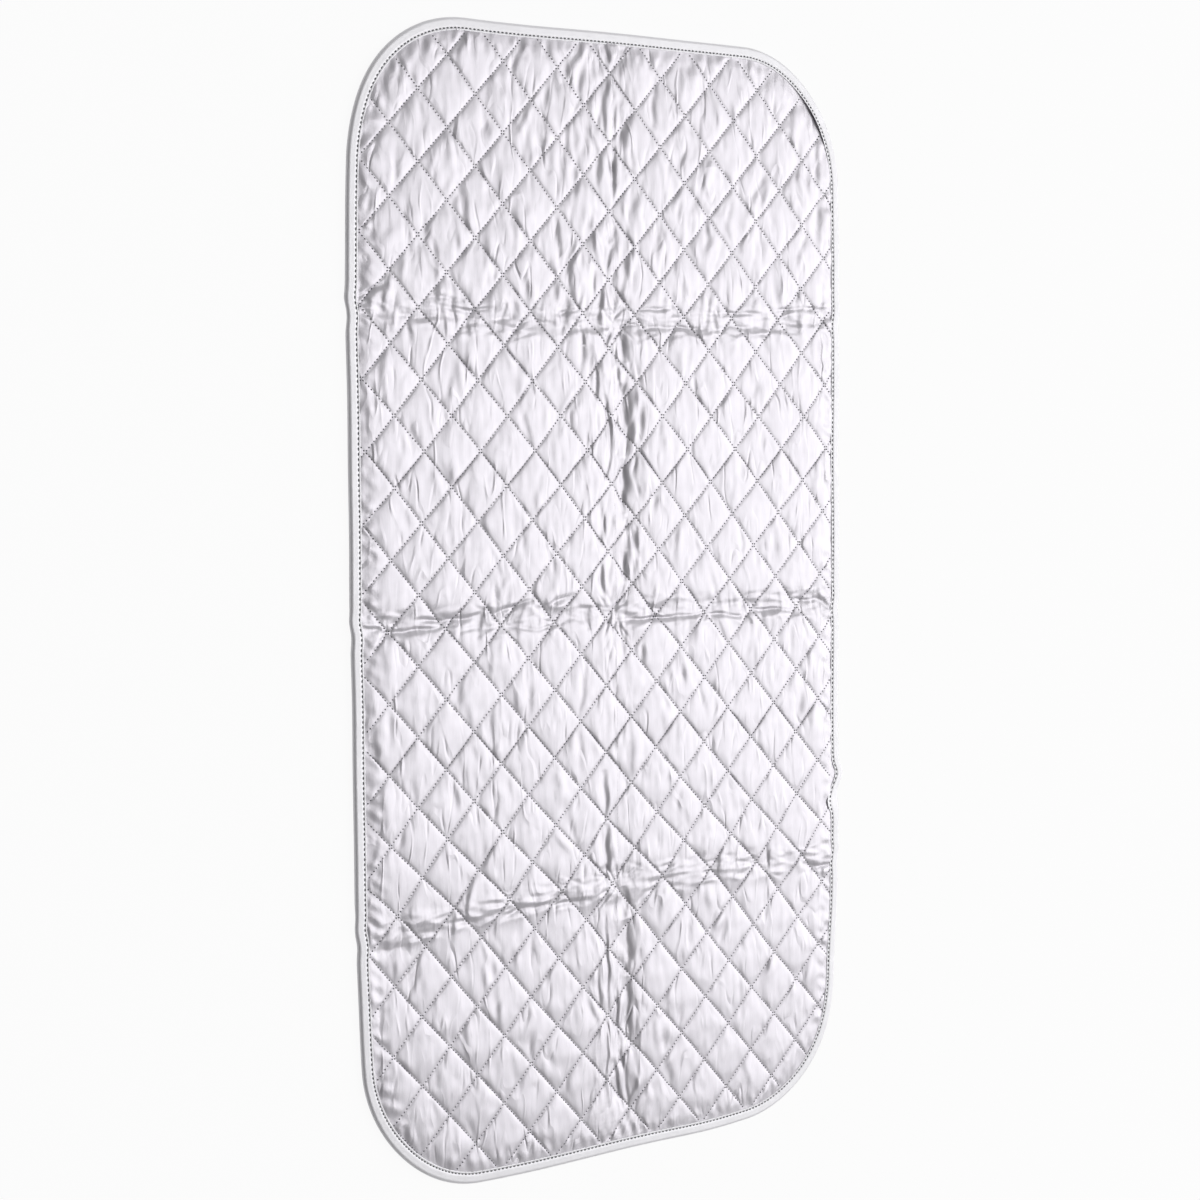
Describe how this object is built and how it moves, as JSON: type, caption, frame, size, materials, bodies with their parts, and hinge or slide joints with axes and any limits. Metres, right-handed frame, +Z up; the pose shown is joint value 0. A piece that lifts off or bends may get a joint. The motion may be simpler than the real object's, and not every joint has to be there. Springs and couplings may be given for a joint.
{
  "type": "ironing pad",
  "caption": "Quilted ironing pad with a silver heat-reflecting face, rounded corners and a bound edge, which lies on a table as an ironing surface and folds up along its creases for storage.",
  "frame": {"origin": "middle of the underside, on the surface that the pad lies on", "axes": "+X across the pad, +Y along the pad, +Z up out of the silver ironing face"},
  "size_m": [0.48, 0.85, 0.006],
  "materials": {
    "silver_cloth": "aluminium-coated satin cloth with fine creases",
    "wadding_fibre": "needled white wadding",
    "backing_cloth": "plain woven cotton",
    "binding_tape": "smooth white satin tape",
    "quilting_thread": "fine grey sewing thread"
  },
  "bodies": {
    "panel_left_1": {"face_left_1": "silver_cloth", "wadding_left_1": "wadding_fibre", "backing_left_1": "backing_cloth", "binding_left_1": "binding_tape"},
    "panel_left_2": {"face_left_2": "silver_cloth", "wadding_left_2": "wadding_fibre", "backing_left_2": "backing_cloth", "binding_left_2": "binding_tape"},
    "panel_left_3": {"face_left_3": "silver_cloth", "wadding_left_3": "wadding_fibre", "backing_left_3": "backing_cloth", "binding_left_3": "binding_tape"},
    "panel_left_4": {"face_left_4": "silver_cloth", "wadding_left_4": "wadding_fibre", "backing_left_4": "backing_cloth", "binding_left_4": "binding_tape"},
    "panel_right_1": {"face_right_1": "silver_cloth", "wadding_right_1": "wadding_fibre", "backing_right_1": "backing_cloth", "binding_right_1": "binding_tape"},
    "panel_right_2": {"face_right_2": "silver_cloth", "wadding_right_2": "wadding_fibre", "backing_right_2": "backing_cloth", "binding_right_2": "binding_tape"},
    "panel_right_3": {"face_right_3": "silver_cloth", "wadding_right_3": "wadding_fibre", "backing_right_3": "backing_cloth", "binding_right_3": "binding_tape"},
    "panel_right_4": {"face_right_4": "silver_cloth", "wadding_right_4": "wadding_fibre", "backing_right_4": "backing_cloth", "binding_right_4": "binding_tape"}
  },
  "joints": [
    {"name": "lengthwise_fold", "type": "hinge", "parent": "panel_left_2", "child": "panel_right_2", "pos_m": [0, 0.10625, -0.00015], "axis": [0, 1, 0], "range_deg": [0, 179.8]},
    {"name": "top_fold", "type": "hinge", "parent": "panel_left_2", "child": "panel_left_1", "pos_m": [-0.12, 0.2125, 0.00615], "axis": [1, 0, 0], "range_deg": [0, 179.8]},
    {"name": "top_fold_right", "type": "hinge", "parent": "panel_right_2", "child": "panel_right_1", "pos_m": [0.12, 0.2125, 0.00615], "axis": [1, 0, 0], "range_deg": [0, 179.8]},
    {"name": "middle_fold", "type": "hinge", "parent": "panel_left_2", "child": "panel_left_3", "pos_m": [-0.12, 0, 0.0132], "axis": [-1, 0, 0], "range_deg": [0, 179.8]},
    {"name": "middle_fold_right", "type": "hinge", "parent": "panel_right_2", "child": "panel_right_3", "pos_m": [0.12, 0, 0.0132], "axis": [-1, 0, 0], "range_deg": [0, 179.8]},
    {"name": "bottom_fold", "type": "hinge", "parent": "panel_left_3", "child": "panel_left_4", "pos_m": [-0.12, -0.2125, 0.00615], "axis": [-1, 0, 0], "range_deg": [0, 179.8]},
    {"name": "bottom_fold_right", "type": "hinge", "parent": "panel_right_3", "child": "panel_right_4", "pos_m": [0.12, -0.2125, 0.00615], "axis": [-1, 0, 0], "range_deg": [0, 179.8]}
  ],
  "couplings": [
    {"joint": "top_fold_right", "follows": "top_fold", "ratio": 1},
    {"joint": "middle_fold_right", "follows": "middle_fold", "ratio": 1},
    {"joint": "bottom_fold_right", "follows": "bottom_fold", "ratio": 1}
  ]
}
